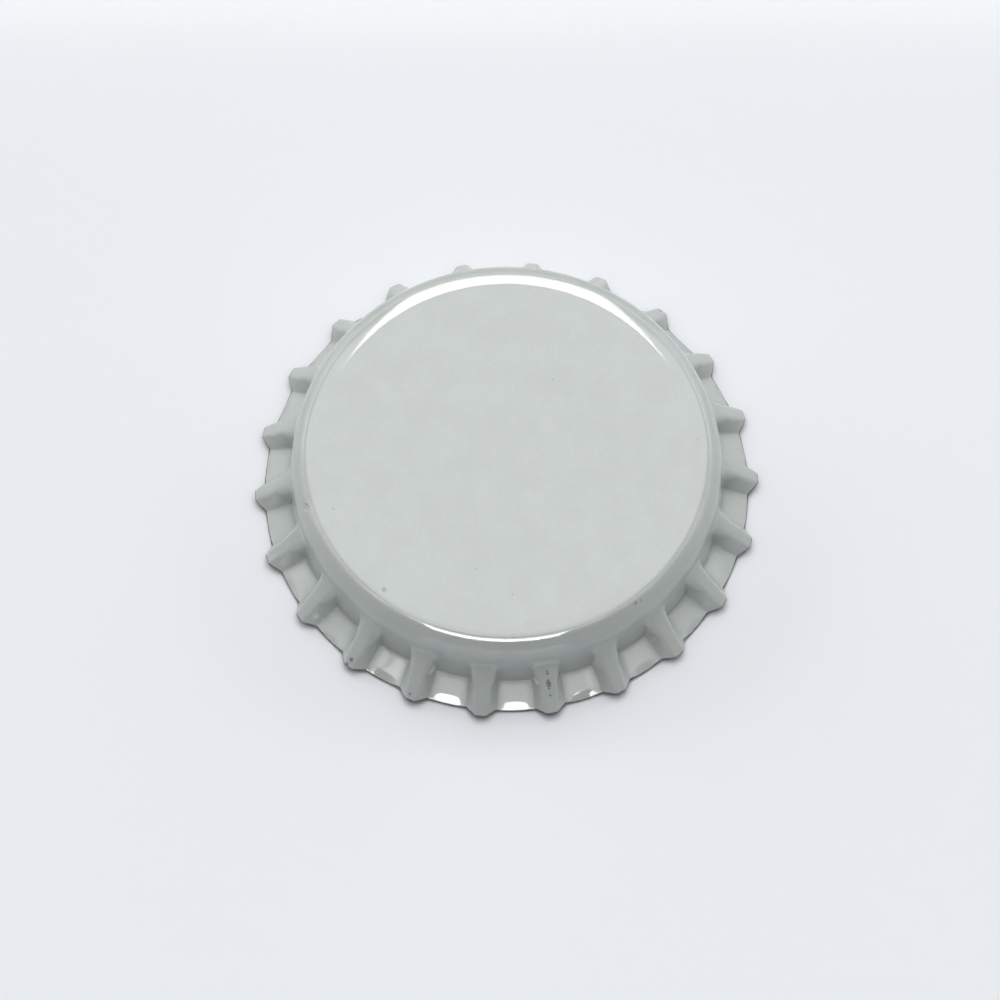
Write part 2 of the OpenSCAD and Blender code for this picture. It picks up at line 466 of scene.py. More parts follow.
def joined_faces(rows: int, width: int, closed: bool) -> list[tuple[int, ...]]:
    """Joins rows of points into a sheet that runs to a middle point at both ends.

    Args:
        rows: How many rows there are.
        width: How many points each row has.
        closed: Whether a row's last point is joined to its first.

    Returns:
        The faces from row to row, then those to the two middle points, which come after the rows.
    """
    pairs = [(step, (step + 1) % width) for step in range(width if closed else width - 1)]
    starts = range(0, (rows - 1) * width, width)
    faces = [(s + a, s + width + a, s + width + b, s + b) for s in starts for a, b in pairs]
    last, top, bottom = starts[-1] + width, rows * width, rows * width + 1
    for a, b in pairs:
        faces += [(top, a, b), (bottom, last + b, last + a)]
    return faces


def placed(name: str, data: bpy.types.ID) -> bpy.types.Object:
    """Makes an object and links it into the scene.

    Args:
        name: The object's name.
        data: Its mesh, lamp or camera.

    Returns:
        The object.
    """
    thing = bpy.data.objects.new(name, data)
    bpy.context.scene.collection.objects.link(thing)
    return thing


@dataclass
class LandSection:
    """Outside of the sheet between two flutes, from the plain wall down to the cut edge.

    A drafted wall, the crease, a straight land and the curl of the lip follow each other smoothly.
    """

    wall_top: Vector
    crease_corner: Vector
    crease_radius: float
    lip_end: Vector
    lip_radius: float
    lip_slope: float

    def __post_init__(self) -> None:
        """Works out the slope and the end of each stretch."""
        self.lip_centre = self.lip_end - self.lip_radius * outward(self.lip_slope)
        self.wall_slope = slope_between(self.wall_top, self.crease_corner)
        reach = (self.lip_centre - self.crease_corner).length
        self.land_slope = slope_between(self.crease_corner, self.lip_centre)
        self.land_slope -= math.asin(self.lip_radius / reach)
        tangent = self.crease_radius * math.tan((self.wall_slope - self.land_slope) / 2)
        self.wall_run = (self.crease_corner - self.wall_top).length - tangent
        self.crease_start = self.wall_top + self.wall_run * along(self.wall_slope)
        self.crease_run = self.wall_run + self.crease_radius * (self.wall_slope - self.land_slope)
        self.land_start = self.crease_corner + tangent * along(self.land_slope)
        self.land_run = self.crease_run + math.sqrt(reach**2 - self.lip_radius**2) - tangent
        self.run = self.land_run + self.lip_radius * (self.lip_slope - self.land_slope)

    def point(self, share: float) -> Vector:
        """Follows the section.

        Args:
            share: Share of the way down.

        Returns:
            The (radius, height) point there.
        """
        run = share * self.run
        if run <= self.wall_run:
            return self.wall_top + run * along(self.wall_slope)
        if run <= self.crease_run:
            slope = self.wall_slope - (run - self.wall_run) / self.crease_radius
            return self.crease_start + self.crease_radius * (outward(self.wall_slope) - outward(slope))
        if run <= self.land_run:
            return self.land_start + (run - self.crease_run) * along(self.land_slope)
        slope = self.land_slope + (run - self.land_run) / self.lip_radius
        return self.lip_centre + self.lip_radius * outward(slope)


@dataclass
class FluteSection:
    """Outside of the sheet along the middle of a flute: a bend out of the wall, then a straight run."""

    wall_top: Vector
    bend_radius: float
    tip: Vector

    def __post_init__(self) -> None:
        """Works out the slope and the end of the bend."""
        self.bend_centre = self.wall_top + Vector((self.bend_radius, 0.0))
        reach = (self.tip - self.bend_centre).length
        self.slope = slope_between(self.bend_centre, self.tip) - math.asin(self.bend_radius / reach)
        self.bend_run = self.bend_radius * (math.pi / 2 - self.slope)
        self.run = self.bend_run + math.sqrt(reach**2 - self.bend_radius**2)

    def point(self, share: float) -> Vector:
        """Follows the section.

        Args:
            share: Share of the way down.

        Returns:
            The (radius, height) point there.
        """
        run = share * self.run
        if run <= self.bend_run:
            return self.bend_centre - self.bend_radius * outward(math.pi / 2 - run / self.bend_radius)
        return self.tip - (self.run - run) * along(self.slope)


@dataclass
class SheetRow:
    """One row of points across a sector of the shell, with what the finishes need to know there."""

    points: list[Vector]
    side: SheetSide
    rim_distances: list[float]
    creases: list[float]
    flare: float


@dataclass
class CrownShell:
    """The pressed shell: flat top panel, rounded shoulder, plain wall and a flared rim of flutes.

    The tip sizes are what a flute's back and sides come to at the cut edge. The guards are narrow strips
    beside a bend, which keep its smooth shading off the flat next to it. The crease at a flute's foot is
    placed in columns, which skirt_place explains.
    """

    cap_height: float
    tip_radius: float
    flute_count: int = 22
    sheet: float = 0.24 * MM
    seat_radius: float = 13.375 * MM
    shoulder_width: float = 1.2 * MM
    shoulder_height: float = 2.1 * MM
    corner_slope: float = math.radians(60)
    crown_width: float = 0.75 * MM
    crown_bend: float = 0.08 * MM
    crown_rise: float = math.radians(1.9)
    crown_slope: float = math.radians(4)
    plain_wall_height: float = 0.3 * MM
    tip_height: float = 0.65 * MM
    bend_radius: float = 0.9 * MM
    back_width: float = 0.55 * MM
    side_width: float = 0.82 * MM
    side_slope: float = math.radians(68)
    side_least_turn: float = 0.12
    side_arc_share: float = 0.4
    upper_edge_share: float = 0.65
    tip_width: float = 0.46 * MM
    tip_side_width: float = 0.87 * MM
    tip_side_slope: float = math.radians(48)
    tip_spread_start: float = 0.65
    valley_radius: float = 15.42 * MM
    lip_slope: float = math.radians(48)
    lip_radius: float = 2.5 * MM
    crease_radius_out: float = 13.73 * MM
    crease_height: float = 1.3 * MM
    crease_radius: float = 0.1 * MM
    crease_reach: float = 0.3 * MM
    foot_crease_column: float = 1.82
    foot_crease_reach: float = 0.35
    foot_crease_fade: float = 0.2
    lip_lift: float = 0.2 * MM
    rim_roll: float = 0.09 * MM
    burr_radius: float = 0.03 * MM
    unevenness: float = 0.05 * MM
    unevenness_grain: float = 3.5 * MM
    weld_distance: float = 0.001 * MM
    seed: int = 7
    panel_shares: tuple[float, ...] = (0.3, 0.6, 0.85)
    back_steps: int = 2
    side_steps: int = 10
    land_steps: int = 3
    foot_guard: float = 0.05
    crease_guard: float = 0.02 * MM

    def __post_init__(self) -> None:
        """Works out the shoulder's two arcs and the two sections that the rim is made from."""
        self.wall_radius = self.seat_radius + self.sheet
        drop = 1 - math.cos(self.corner_slope)
        reach = 1 - math.sin(self.corner_slope)
        scale = 1 - drop - reach
        self.corner_radius = (self.shoulder_width * (1 - drop) - self.shoulder_height * reach) / scale
        self.side_radius = (self.shoulder_height * (1 - reach) - self.shoulder_width * drop) / scale
        panel_radius = self.wall_radius - self.shoulder_width
        self.corner_centre = Vector((panel_radius, self.cap_height - self.corner_radius))
        shoulder_foot = self.cap_height - self.shoulder_height
        self.side_centre = Vector((self.wall_radius - self.side_radius, shoulder_foot))
        self.wall_foot = self.side_centre.y - self.plain_wall_height
        wall_top = Vector((self.wall_radius, self.wall_foot))
        self.land = LandSection(
            wall_top=wall_top,
            crease_corner=Vector((self.crease_radius_out, self.crease_height)),
            crease_radius=self.crease_radius,
            lip_end=Vector((self.valley_radius, self.sheet * math.cos(self.lip_slope))),
            lip_radius=self.lip_radius,
            lip_slope=self.lip_slope,
        )
        self.flute = FluteSection(wall_top, self.bend_radius, Vector((self.tip_radius, self.tip_height)))
        self.half_pitch = TURN / self.flute_count / 2

    # ---- The rule that the fluted skirt follows ----

    def side_point(self, way: float, width: float, rise: float, slope: float) -> tuple[float, float]:
        """Follows a flute's side: an arc turns it down off the back and another out again on to the land.

        Args:
            way: Share of the way across, from the back's edge to the land.
            width: Width of the side.
            rise: How far the back stands above the land.
            slope: Slope of the straight wall between the arcs, where there is room for one.

        Returns:
            The distance sideways from the back's edge, and the share of the rise that is left there.
        """
        lean = math.atan(rise / width)
        steepest = 2 * lean
        turn = min(max(slope, lean + (math.pi / 2 - lean) * self.side_least_turn), steepest)
        # Where a straight wall has no room between them, the two arcs meet half-way.
        arc_share = self.side_arc_share if turn < steepest else 0.5
        radius = (width * math.sin(turn) - rise * math.cos(turn)) / (1 - math.cos(turn))
        upper = radius * self.upper_edge_share
        lower = radius - upper

        def on_upper(angle: float) -> Vector:
            """Returns the place on the upper arc after it has turned by an angle."""
            return Vector((upper * math.sin(angle), 1 - upper * (1 - math.cos(angle)) / rise))

        def on_lower(angle: float) -> Vector:
            """Returns the place on the lower arc that has still to turn by an angle."""
            return Vector((width - lower * math.sin(angle), lower * (1 - math.cos(angle)) / rise))

        if way <= arc_share:
            return tuple(on_upper(turn * way / arc_share))
        if way >= 1 - arc_share:
            return tuple(on_lower(turn * (1 - way) / arc_share))
        return tuple(on_upper(turn).lerp(on_lower(turn), (way - arc_share) / (1 - 2 * arc_share)))

    def skirt_place(self, share: float, column: float) -> tuple[Vector, float, float]:
        """Places a point of the skirt's outside.

        Args:
            share: Share of the way down from the plain wall to the cut edge.
            column: 0 at the middle of a flute's back, 1 at its edge, 2 at its foot and 3 at mid-land.

        Returns:
            The (radius, height) point, its angle from the flute's middle and its share of the flute's rise.
        """
        valley = self.land.point(share)
        back = self.flute.point(share)
        spread = smooth_share((share - self.tip_spread_start) / (1 - self.tip_spread_start))
        half_back = (self.back_width + (self.tip_width - self.back_width) * spread) / 2
        width = self.side_width + (self.tip_side_width - self.side_width) * spread
        if column <= 1:
            return back, column * half_back / back.x, 1.0
        if column <= 2:
            slope = self.side_slope + (self.tip_side_slope - self.side_slope) * spread
            rise = max((back - valley).length, 1e-9)
            sideways, rise_share = self.side_point(column - 1, width, rise, slope)
            place = valley.lerp(back, rise_share) + self.lip_rise(share) * (1 - rise_share)
            return place, (half_back + sideways) / back.x, rise_share
        foot_angle = (half_back + width) / back.x
        lifted = valley + self.lip_rise(share) * (3 - column) ** 2
        return lifted, foot_angle + (self.half_pitch - foot_angle) * (column - 2), 0.0

    def lip_rise(self, share: float) -> Vector:
        """Returns how much higher the curled lip lies beside the flutes than at mid-land."""
        curl = (share * self.land.run - self.land.land_run) / (self.land.run - self.land.land_run)
        return Vector((0, self.lip_lift * max(curl, 0.0) ** 2))

    def skirt_point(self, share: float, column: float) -> Vector:
        """Returns the skirt's outside at a share of the way down and a column, as a point in space."""
        place, angle, _ = self.skirt_place(share, column)
        return in_space(place.x, place.y, angle)

    def skirt_frame(self, share: float, column: float) -> tuple[Vector, Vector, Vector]:
        """Finds how the sheet lies at a point of the skirt.

        Args:
            share: Share of the way down.
            column: Column across the half-flute, as in skirt_place.

        Returns:
            The point, the unit normal out of the sheet and the unit direction down it.
        """
        probe = 0.001
        down = self.skirt_point(share + probe, column) - self.skirt_point(share - probe, column)
        across = self.skirt_point(share, column + probe) - self.skirt_point(share, column - probe)
        normal = down.cross(across).normalized()
        return self.skirt_point(share, column), normal, across.cross(normal).normalized()

    # ---- One sector of the closed shell ----

    def columns(self) -> list[float]:
        """Lists the columns across one sector.

        Returns:
            The columns, negative on the side before the flute's middle.
        """
        foot = 2 + self.foot_guard
        flute = [*steps(0, 1, self.back_steps), *steps(1, 2, self.side_steps)]
        half = [*flute, foot, *steps(foot, 3, self.land_steps)]
        return [-column for column in reversed(half)] + [0.0] + half

    def skirt_shares(self) -> list[float]:
        """Lists the shares of the way down at which the skirt has a row.

        Returns:
            The shares, closest where the sheet bends.
        """
        bend = self.flute.bend_run / self.flute.run
        wall = self.land.wall_run / self.land.run
        crease = self.land.crease_run / self.land.run
        land = self.land.land_run / self.land.run
        guard = self.crease_guard / self.land.run
        above, below = wall - guard, crease + guard
        stretches = ((0, bend, 9), (bend, above, 4), (above, wall, 1), (wall, crease, 4))
        stretches += ((crease, below, 1), (below, land, 4), (land, 1, 9))
        return [share for start, end, count in stretches for share in steps(start, end, count)]

    def round_row(self, radius: float, height: float, side: SheetSide) -> SheetRow:
        """Makes a row of the round part.

        Args:
            radius: The row's radius.
            height: Its height.
            side: The face of the sheet that starts at this row.

        Returns:
            The row.
        """
        angles = [math.copysign(self.skirt_place(0, abs(column))[1], column) for column in self.columns()]
        points = [in_space(radius, height, angle) for angle in angles]
        return SheetRow(points, side, [self.land.run] * len(points), [0.0] * len(points), 0.0)

    def crease_share(self, share: float, column: float) -> float:
        """Finds how near a point of the skirt lies to a crease round a land, where the enamel gets painted
        shade and less gloss.

        Args:
            share: Share of the way down.
            column: Column across the half-flute, as in skirt_place.

        Returns:
            The nearness, from 0 away from the creases to 1 in them.
        """
        across = abs(column - self.foot_crease_column)
        foot = smooth_share((self.foot_crease_reach - across) / self.foot_crease_fade)
        away = abs(share * self.land.run - self.land.wall_run)
        head = smooth_share((self.crease_reach - away) / self.crease_reach * 1.5)
        # The crease at a flute's foot opens over the upper third of the skirt. The one at a land's head is
        # at its full over a third of its reach, and runs out up the flute's side.
        return max(foot * smooth_share(3 * share), head * smooth_share(column - 1))

    def skirt_row(self, share: float, lift: tuple[float, float], side: SheetSide) -> SheetRow:
        """Makes a row of the skirt.

        Args:
            share: Share of the way down.
            lift: How far the row lies from the outside at that share, along the normal and down the sheet.
            side: The face of the sheet that starts at this row.

        Returns:
            The row.
        """
        points, distances, creases = [], [], []
        for column in self.columns():
            creases.append(self.crease_share(share, abs(column)))
            point, normal, down = self.skirt_frame(share, abs(column))
            rise_share = self.skirt_place(share, abs(column))[2]
            point = point + normal * lift[0] + down * lift[1]
            points.append(Vector((point.x, math.copysign(point.y, column), point.z)))
            run = self.land.run + (self.flute.run - self.land.run) * rise_share
            distances.append((1 - share) * run - lift[1])
        return SheetRow(points, side, distances, creases, smooth_share(share))

    def rim_rows(self) -> Iterator[SheetRow]:
        """Makes the rows round the cut edge.

        Yields:
            The rows of the rolled outer corner, then those of the burr at the inner one.
        """
        quarter = math.pi / 2
        roll, burr = self.rim_roll, self.burr_radius
        for angle in (0, *steps(0, quarter, 4)):
            lift = (roll * (math.cos(angle) - 1), roll * (math.sin(angle) - 1))
            yield self.skirt_row(1, lift, SheetSide.CUT_EDGE)
        for angle in (0, *steps(0, quarter, 2)):
            lift = (burr * (1 - math.sin(angle)) - self.sheet, burr * (math.cos(angle) - 1))
            yield self.skirt_row(1, lift, SheetSide.CUT_EDGE)

    def shoulder_point(self, slope: float, inset: float) -> Vector:
        """Follows the shoulder, a tight corner and then a slower turn down to the wall.

        Args:
            slope: Slope of the surface at the point.
            inset: Depth below the outside.

        Returns:
            The (radius, height) point.
        """
        if slope <= self.corner_slope:
            return self.corner_centre + (self.corner_radius - inset) * outward(slope)
        return self.side_centre + (self.side_radius - inset) * outward(slope)

    def crown_drop(self, reach: float) -> float:
        """Works out the fall of the panel's sunk border.

        Args:
            reach: Distance out from the edge of the flat middle.

        Returns:
            How far the border has fallen there.
        """
        bent = min(reach, self.crown_bend)
        rest = reach - bent
        growth = (self.crown_slope - self.crown_rise) / (self.crown_width - self.crown_bend)
        return self.crown_rise * (bent * bent / (2 * self.crown_bend) + rest) + growth * rest * rest / 2

    def shoulder_rows(self) -> tuple[list[SheetRow], list[SheetRow]]:
        """Makes the rows of the top panel, shoulder and plain wall.

        Returns:
            The outside's rows from the middle down, and the inside's from the wall's foot up.
        """
        out, within = SheetSide.OUTSIDE, SheetSide.INSIDE
        edge = self.shoulder_point(self.crown_slope, 0)
        flat = edge.x - self.crown_width
        fall = self.crown_drop(self.crown_width) - (self.cap_height - edge.y)
        outside = [self.round_row(flat * share, self.cap_height, out) for share in (*self.panel_shares, 1)]
        for reach in (*steps(0, self.crown_bend, 3), *steps(self.crown_bend, self.crown_width, 6)):
            outside.append(self.round_row(flat + reach, self.cap_height - self.crown_drop(reach), out))
        corner, upright = self.corner_slope, math.pi / 2
        for slope in (*steps(self.crown_slope, corner, 12), *steps(corner, upright, 6)):
            place = self.shoulder_point(slope, 0)
            sunk = fall * (1 - smooth_share(slope / corner))
            outside.append(self.round_row(place.x, place.y - sunk, out))
        outside.append(self.round_row(self.wall_radius, self.wall_foot, out))

        inside = [self.round_row(self.seat_radius, self.wall_foot, within)]
        for slope in (upright, *steps(upright, corner, 4), *steps(corner, 0, 8)):
            place = self.shoulder_point(slope, self.sheet)
            inside.append(self.round_row(place.x, place.y, within))
        underside = self.cap_height - self.sheet
        for share in reversed(self.panel_shares):
            inside.append(self.round_row(self.corner_centre.x * share, underside, within))
        return outside, inside

    def rows(self) -> list[SheetRow]:
        """Makes every row of a sector.

        Returns:
            The rows, down the outside, round the cut edge and up the inside.
        """
        out, within = SheetSide.OUTSIDE, SheetSide.INSIDE
        outside, inside = self.shoulder_rows()
        longest = max(self.land.run, self.flute.run)
        last_share = 1 - self.rim_roll / longest
        down = [share for share in self.skirt_shares() if share < last_share]
        up = [share for share in reversed(self.skirt_shares()) if share < last_share]
        outside += [self.skirt_row(share, (0, 0), out) for share in down]
        returning = [self.skirt_row(share, (-self.sheet, 0), within) for share in up]
        return [*outside, *self.rim_rows(), *returning, *inside]

    def sector(self) -> bpy.types.Mesh:
        """Builds one sector of the shell, open where it meets its neighbours.

        Returns:
            The mesh, with each point's distance from the cut edge, crease and flare, and each face's side.
        """
        rows = self.rows()
        width = len(rows[0].points)
        top = Vector((0, 0, self.cap_height))
        underside = Vector((0, 0, self.cap_height - self.sheet))
        points = [point for row in rows for point in row.points] + [top, underside]
        mesh = bpy.data.meshes.new("flute_sector")
        mesh.from_pydata(points, [], joined_faces(len(rows), width, closed=False))
        sides = [int(row.side) for row in rows[:-1] for _ in range(width - 1)]
        sides += [int(SheetSide.OUTSIDE), int(SheetSide.INSIDE)] * (width - 1)
        distances = [d for row in rows for d in row.rim_distances] + [self.land.run] * 2
        creases = [c for row in rows for c in row.creases] + [0.0] * 2
        flares = [row.flare for row in rows for _ in row.points] + [0.0] * 2
        for name, values in (("rim_distance", distances), ("crease", creases), ("flare", flares)):
            mesh.attributes.new(name, "FLOAT", "POINT").data.foreach_set("value", values)
        mesh.attributes.new("sheet_side", "INT", "FACE").data.foreach_set("value", sides)
        return mesh

    # ---- The whole shell ----

    def pattern_tree(self) -> bpy.types.NodeTree:
        """Builds the geometry nodes that repeat the sector round the axis and weld the shell shut.

        Returns:
            The tree, with an input for each size, the seed and each finish.
        """
        tree = bpy.data.node_groups.new("fluted_shell", "GeometryNodeTree")
        tree.is_modifier = True
        board = NodeBoard(tree)
        kinds = {
            "Sector": "NodeSocketGeometry",
            "Flute Count": "NodeSocketInt",
            "Weld Distance": "NodeSocketFloat",
            "Unevenness": "NodeSocketFloat",
            "Unevenness Grain": "NodeSocketFloat",
            "Seed": "NodeSocketInt",
            "Outside Finish": "NodeSocketMaterial",
            "Cut Edge Finish": "NodeSocketMaterial",
            "Inside Finish": "NodeSocketMaterial",
        }
        for name, kind in kinds.items():
            tree.interface.new_socket(name, in_out="INPUT", socket_type=kind)
        tree.interface.new_socket("Shell", in_out="OUTPUT", socket_type="NodeSocketGeometry")
        given = board.add("NodeGroupInput").outputs

        centres = board.add("GeometryNodePoints", {"Count": given["Flute Count"]}).outputs[0]
        index = board.add("GeometryNodeInputIndex").outputs[0]
        angle = board.math("DIVIDE", board.math("MULTIPLY", index, TURN), given["Flute Count"])
        turn = board.add("ShaderNodeCombineXYZ", {"Z": angle}).outputs[0]
        rotation = board.add("FunctionNodeEulerToRotation", {0: turn}).outputs[0]
        inputs = {"Points": centres, "Instance": given["Sector"], "Rotation": rotation}
        repeated = board.add("GeometryNodeInstanceOnPoints", inputs).outputs[0]
        solid = board.add("GeometryNodeRealizeInstances", {0: repeated}).outputs[0]
        inputs = {0: solid, "Distance": given["Weld Distance"]}
        welded = board.add("GeometryNodeMergeByDistance", inputs).outputs[0]

        flare = board.layer("flare", "FLOAT")
        scale = board.math("DIVIDE", 1.0, given["Unevenness Grain"])
        inputs = {"W": given["Seed"], "Scale": scale, "Detail": 0.0}
        noise = board.add("ShaderNodeTexNoise", inputs, noise_dimensions="4D").outputs[0]
        place = board.add("GeometryNodeInputPosition").outputs[0]
        level = board.vector("MULTIPLY", place, (-1.0, -1.0, 0.0))
        sway = board.vector("NORMALIZE", level)
        for factor in (noise, given["Unevenness"], flare):
            inputs = {0: sway, "Scale": factor}
            sway = board.add("ShaderNodeVectorMath", inputs, operation="SCALE").outputs[0]
        shaped = board.add("GeometryNodeSetPosition", {"Geometry": welded, "Offset": sway}).outputs[0]
        shaped = board.add("GeometryNodeSetShadeSmooth", {0: shaped}).outputs[0]

        side = board.layer("sheet_side", "INT")
        for part, finish in zip(SheetSide, ("Outside Finish", "Cut Edge Finish", "Inside Finish")):
            inputs = {"A": side, "B": int(part)}
            chosen = board.add("FunctionNodeCompare", inputs, data_type="INT", operation="EQUAL").outputs[0]
            inputs = {"Geometry": shaped, "Selection": chosen, "Material": given[finish]}
            shaped = board.add("GeometryNodeSetMaterial", inputs).outputs[0]
        board.add("NodeGroupOutput", {0: shaped})
        return tree

    def build(self, outside: Enamel, cut_edge: ShearedSteel, inside: LacqueredSteel) -> bpy.types.Object:
        """Builds and dresses the shell.

        Args:
            outside: Finish of the outside.
            cut_edge: Finish of the rim's cut edge.
            inside: Finish of the inside.

        Returns:
            The shell as a plain mesh.
        """
        shell = placed("pressed_shell", self.sector())
        values = {
            "Flute Count": self.flute_count,
            "Weld Distance": self.weld_distance,
            "Unevenness": self.unevenness * 2,
            "Unevenness Grain": self.unevenness_grain,
            "Seed": self.seed,
            "Outside Finish": outside.make(),
            "Cut Edge Finish": cut_edge.make(),
            "Inside Finish": inside.make(),
        }
        settle(shell, self.pattern_tree(), values)
        return shell


@dataclass
class SealingLiner:
    """The liner: a thin web with a thicker sealing bead round it, moulded against the shell."""

    radius: float
    top: float
    bottom: float
    corner_centre: Vector
    corner_radius: float
    web_thickness: float = 0.35 * MM
    bead_width: float = 2 * MM
    bead_radius: float = 0.35 * MM
    foot_fillet: float = 0.15 * MM
    turn_steps: int = 256

    def profile(self) -> list[Vector]:
        """Draws the half section.

        Returns:
            Its (radius, height) points, from the top's middle round to the web's.
        """
        half, quarter = math.pi, math.pi / 2
        web = self.top - self.web_thickness
        bead_start = self.radius - self.bead_width
        reach = math.asin((self.radius - self.corner_centre.x) / self.corner_radius)
        points = [Vector((self.corner_centre.x * share, self.top)) for share in (0.5, 1)]
        points += [self.corner_centre + self.corner_radius * outward(a) for a in steps(0, reach, 4)]
        outer = Vector((self.radius - self.bead_radius, self.bottom + self.bead_radius))
        inner = Vector((bead_start + self.bead_radius, outer.y))
        points += [outer + self.bead_radius * outward(a) for a in (quarter, *steps(quarter, half, 8))]
        points += [inner + self.bead_radius * outward(a) for a in (half, *steps(half, half + quarter, 8))]
        foot = Vector((bead_start, web)) - Vector((1, 1)) * self.foot_fillet
        points += [foot + self.foot_fillet * outward(a) for a in (quarter, *steps(quarter, 0, 5))]
        points += [Vector((bead_start * share, web)) for share in (0.8, 0.5, 0.2)]
        return points

    def build(self, finish: LinerPolymer) -> bpy.types.Object:
        """Turns the half section about the axis and dresses it.

        Args:
            finish: Finish of the whole liner.

        Returns:
            The liner as a plain mesh.
        """
        profile = self.profile()
        turns = [TURN * step / self.turn_steps for step in range(self.turn_steps)]
        points = [in_space(place.x, place.y, turn) for place in profile for turn in turns]
        points += [Vector((0, 0, self.top)), Vector((0, 0, profile[-1].y))]
        mesh = bpy.data.meshes.new("moulded_liner")
        mesh.from_pydata(points, [], joined_faces(len(profile), self.turn_steps, closed=True))
        mesh.shade_smooth()
        mesh.materials.append(finish.make())
        return placed("moulded_liner", mesh)


def settle(piece: bpy.types.Object, tree: bpy.types.NodeTree, values: dict[str, Any]) -> None:
    """Runs a piece's geometry nodes once and keeps the result as its plain mesh.

    Args:
        piece: The object, whose mesh is the tree's first input.
        tree: The geometry tree.
        values: The tree's other inputs by name.
    """
    modifier = piece.modifiers.new(tree.name, "NODES")
    modifier.node_group = tree
    sockets = {item.name: item.identifier for item in tree.interface.items_tree if item.in_out == "INPUT"}
    for name, value in values.items():
        modifier[sockets[name]] = value
    evaluated = piece.evaluated_get(bpy.context.evaluated_depsgraph_get())
    mesh = bpy.data.meshes.new_from_object(evaluated)
    mesh.name = piece.name
    piece.modifiers.clear()
    piece.data = mesh


# ---- The studio ----


def direction(azimuth: float, elevation: float) -> Vector:
    """Returns the unit direction out from the cap at an azimuth and an elevation, in degrees."""
    level = math.cos(math.radians(elevation))
    return in_space(level, math.sin(math.radians(elevation)), math.radians(azimuth - 90))


def aim(thing: bpy.types.Object, target: Vector, away: Vector, distance: float) -> None:
    """Places a lamp or a camera at a distance away from a target, facing it."""
    thing.location = target + away * distance
    thing.rotation_euler = (-away).to_track_quat("-Z", "Y").to_euler()


@dataclass(frozen=True)
class SoftLamp:
    """A rectangular lamp that is seen from the cap over given angles."""

    name: str
    azimuth: float
    elevation: float
    half_width: float
    half_height: float
    radiance: float
    use: LampUse = LampUse.ALL_LIGHT
    distance: float = 4.0

    def build(self) -> None:
        """Hangs the lamp, facing the cap."""
        data = bpy.data.lights.new(self.name, "AREA")
        data.shape = "RECTANGLE"
        data.size = 2 * self.distance * math.tan(math.radians(self.half_width))
        data.size_y = 2 * self.distance * math.tan(math.radians(self.half_height))
        data.energy = self.radiance * math.pi * data.size * data.size_y
        lamp = placed(self.name, data)
        aim(lamp, Vector(), direction(self.azimuth, self.elevation), self.distance)
        lamp.visible_camera = False
        lamp.visible_diffuse = self.use is LampUse.ALL_LIGHT


@dataclass(frozen=True)
class Studio:
    """Pale table, soft room light, a broad window behind the cap and a strip lamp in front of it."""

    facing: float = -2.2
    room_colour: Colour = (0.092, 0.096, 0.103)
    background_colour: Colour = (0.80, 0.815, 0.845)
    table_reach: float = 1.6
    table_gap: float = 0.005 * MM

    def lamps(self) -> list[SoftLamp]:
        """Lists the lamps, placed from the direction in which the camera stands.

        Returns:
            The lamps that light everything, then those that only the gloss shows.
        """
        front, behind, gloss = self.facing, self.facing + 180, LampUse.GLOSS_ONLY
        return [
            SoftLamp("ceiling_light", behind, 85, 26, 26, 2.72),
            SoftLamp("high_window", behind, 48, 50, 5, 2.1),
            SoftLamp("right_window", behind - 60, 22, 30, 18, 0.95),
            SoftLamp("left_window", behind + 60, 22, 30, 18, 1.1),
            SoftLamp("back_strip_lamp", behind, 58.6, 4.3, 2.9, 12.0, gloss),
            SoftLamp("front_strip_lamp", front - 5, 36.5, 24, 13, 18.0, gloss),
            SoftLamp("front_glow", front, 53.5, 32, 4.5, 3.0, gloss),
            SoftLamp("right_near_glow", front + 52, 48.5, 12, 5, 1.4, gloss),
            SoftLamp("left_near_glow", front - 50, 49, 12, 5, 2.6, gloss),
            SoftLamp("right_front_glow", front + 80, 42, 20, 9, 1.2, gloss),
            SoftLamp("left_front_glow", front - 80, 42, 20, 9, 1.8, gloss),
        ]

    def build(self) -> None:
        """Lays the table, hangs the lamps and sets the room's own light."""
        mesh = bpy.data.meshes.new("table_top")
        reach = self.table_reach
        corners = [(-reach, -reach), (reach, -reach), (reach, reach), (-reach, reach)]
        mesh.from_pydata([(*corner, -self.table_gap) for corner in corners], [], [(0, 1, 2, 3)])
        mesh.materials.append(TableTop().make())
        placed("table_top", mesh)
        for lamp in self.lamps():
            lamp.build()
        self.room()

    def room(self) -> None:
        """Sets the world: even room light, and the pale background where the camera sees past the table."""
        world = bpy.data.worlds.new("room")
        world.use_nodes = True
        bpy.context.scene.world = world
        board = NodeBoard(world.node_tree)
        seen = board.add("ShaderNodeLightPath").outputs["Is Camera Ray"]
        colour = board.blend(seen, self.room_colour, self.background_colour)
        background = board.add("ShaderNodeBackground", {"Color": colour, "Strength": 1.0})
        board.add("ShaderNodeOutputWorld", {"Surface": background.outputs[0]})


@dataclass(frozen=True)
class ShotCamera:
    """A long lens, high in front of the cap."""

    azimuth: float = -2.2
    elevation: float = 64.85
    distance: float = 0.597
    lens: float = 338.7
    sensor: float = 36.0
    aim_right: float = -0.413 * MM
    aim_up: float = -0.801 * MM
    aim_height: float = 0.62 * MM

    def build(self) -> None:
        """Sets the camera up and makes it the scene's own."""
        away = direction(self.azimuth, self.elevation)
        right = direction(self.azimuth + 90, 0)
        up = away.cross(right)
        target = Vector((0, 0, self.aim_height)) + right * self.aim_right + up * self.aim_up
        data = bpy.data.cameras.new("shot_camera")
        data.lens = self.lens
        data.sensor_width = self.sensor
        data.clip_start = 0.01
        camera = placed("shot_camera", data)
        aim(camera, target, away, self.distance)
        bpy.context.scene.camera = camera


# ---- The cap ----


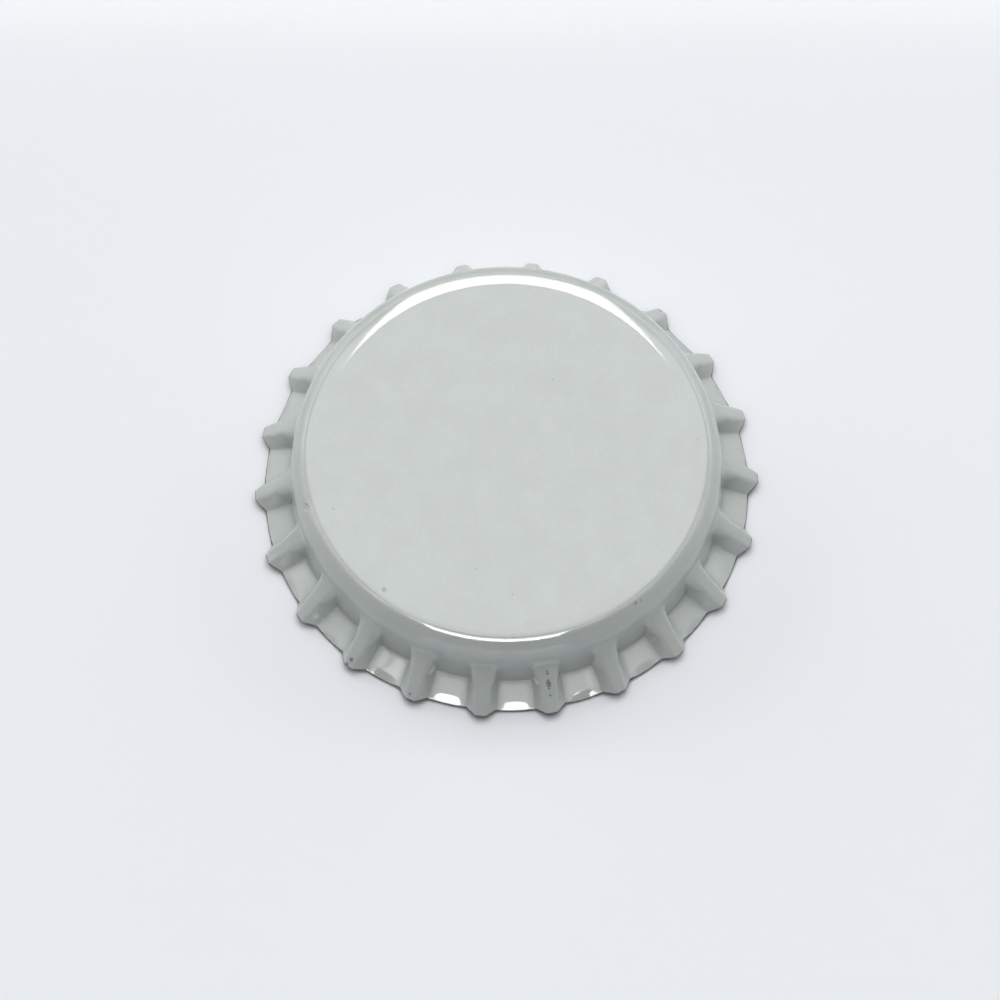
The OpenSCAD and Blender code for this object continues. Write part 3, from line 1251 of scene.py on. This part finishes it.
@dataclass
class BottleCap:
    """The whole cap: pressed shell and moulded liner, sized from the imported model."""

    bond_gap: float = 0.03 * MM

    def __post_init__(self) -> None:
        """Takes the two pieces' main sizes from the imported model."""
        _, shell_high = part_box("crown_shell")
        liner_low, liner_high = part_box("sealing_liner")
        self.shell = CrownShell(cap_height=shell_high.z, tip_radius=shell_high.x)
        self.liner = SealingLiner(
            radius=liner_high.x,
            top=liner_high.z,
            bottom=liner_low.z,
            corner_centre=self.shell.corner_centre - Vector((self.bond_gap, 0)),
            corner_radius=self.shell.corner_radius - self.shell.sheet,
        )

    def mark(self, angle: float, place: Vector, radius: float, strength: float = 0.6) -> Mark:
        """Makes a mark at an angle in degrees and a (radius, height) place, its radius in millimetres."""
        return Mark(in_space(place.x, place.y, math.radians(angle)), radius * MM, strength)

    def specks(self) -> list[Mark]:
        """Lists the dark specks in the enamel.

        Returns:
            The rust spots and baked-in dirt, then the dots of a broken scratch down one flute.
        """
        pitch = 360 / self.shell.flute_count
        back, shoulder = self.shell.flute.point, self.shell.shoulder_point
        panel_edge = Vector((12.27 * MM, self.shell.cap_height))
        specks = [
            self.mark(229.2, panel_edge, 0.17, 0.35),
            self.mark(305.8, shoulder(math.radians(55), 0), 0.12, 0.4),
            self.mark(307.4, shoulder(math.radians(59), 0), 0.08, 0.4),
            self.mark(3 * pitch + 0.18, back(0.92), 0.12),
            self.mark(14 * pitch, back(0.84), 0.15),
            self.mark(14 * pitch - 0.36, back(0.95), 0.1),
            self.mark(15 * pitch - 0.36, back(0.88), 0.09),
        ]
        shares = (0.23, 0.27, 0.39, 0.44, 0.49, 0.54, 0.66)
        widths = (0.07, 0.09, 0.09, 0.15, 0.13, 0.08, 0.08)
        scratch = [self.mark(17 * pitch, back(share), width) for share, width in zip(shares, widths)]
        return specks + scratch

    def pits(self) -> list[Mark]:
        """Returns the shallow dents in the enamel."""
        return [self.mark(194.5, self.shell.shoulder_point(math.radians(56), 0), 0.26, 1.0)]

    def build(self) -> None:
        """Builds both pieces, seats them on the cap's body and reports them."""
        enamel = Enamel(specks=self.specks(), pits=self.pits())
        shell = self.shell.build(enamel, ShearedSteel(), LacqueredSteel())
        self.seat(shell, "crown_shell")
        liner = self.liner.build(LinerPolymer())
        self.seat(liner, "sealing_liner")

    def seat(self, piece: bpy.types.Object, node: str) -> None:
        """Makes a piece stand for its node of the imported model.

        Args:
            piece: The finished piece.
            node: Name of the node that it stands for.
        """
        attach(piece, BODY)
        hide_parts(node)
        log.info("%s stands for %s, with %d faces", piece.name, node, len(piece.data.polygons))


def main() -> None:
    """Builds the camera, the cap and the studio in order."""
    logging.basicConfig(level=logging.INFO, format="%(name)s: %(message)s")
    bpy.context.scene.view_settings.view_transform = "Standard"
    ShotCamera().build()
    BottleCap().build()
    Studio().build()


if __name__ == "__main__":
    main()
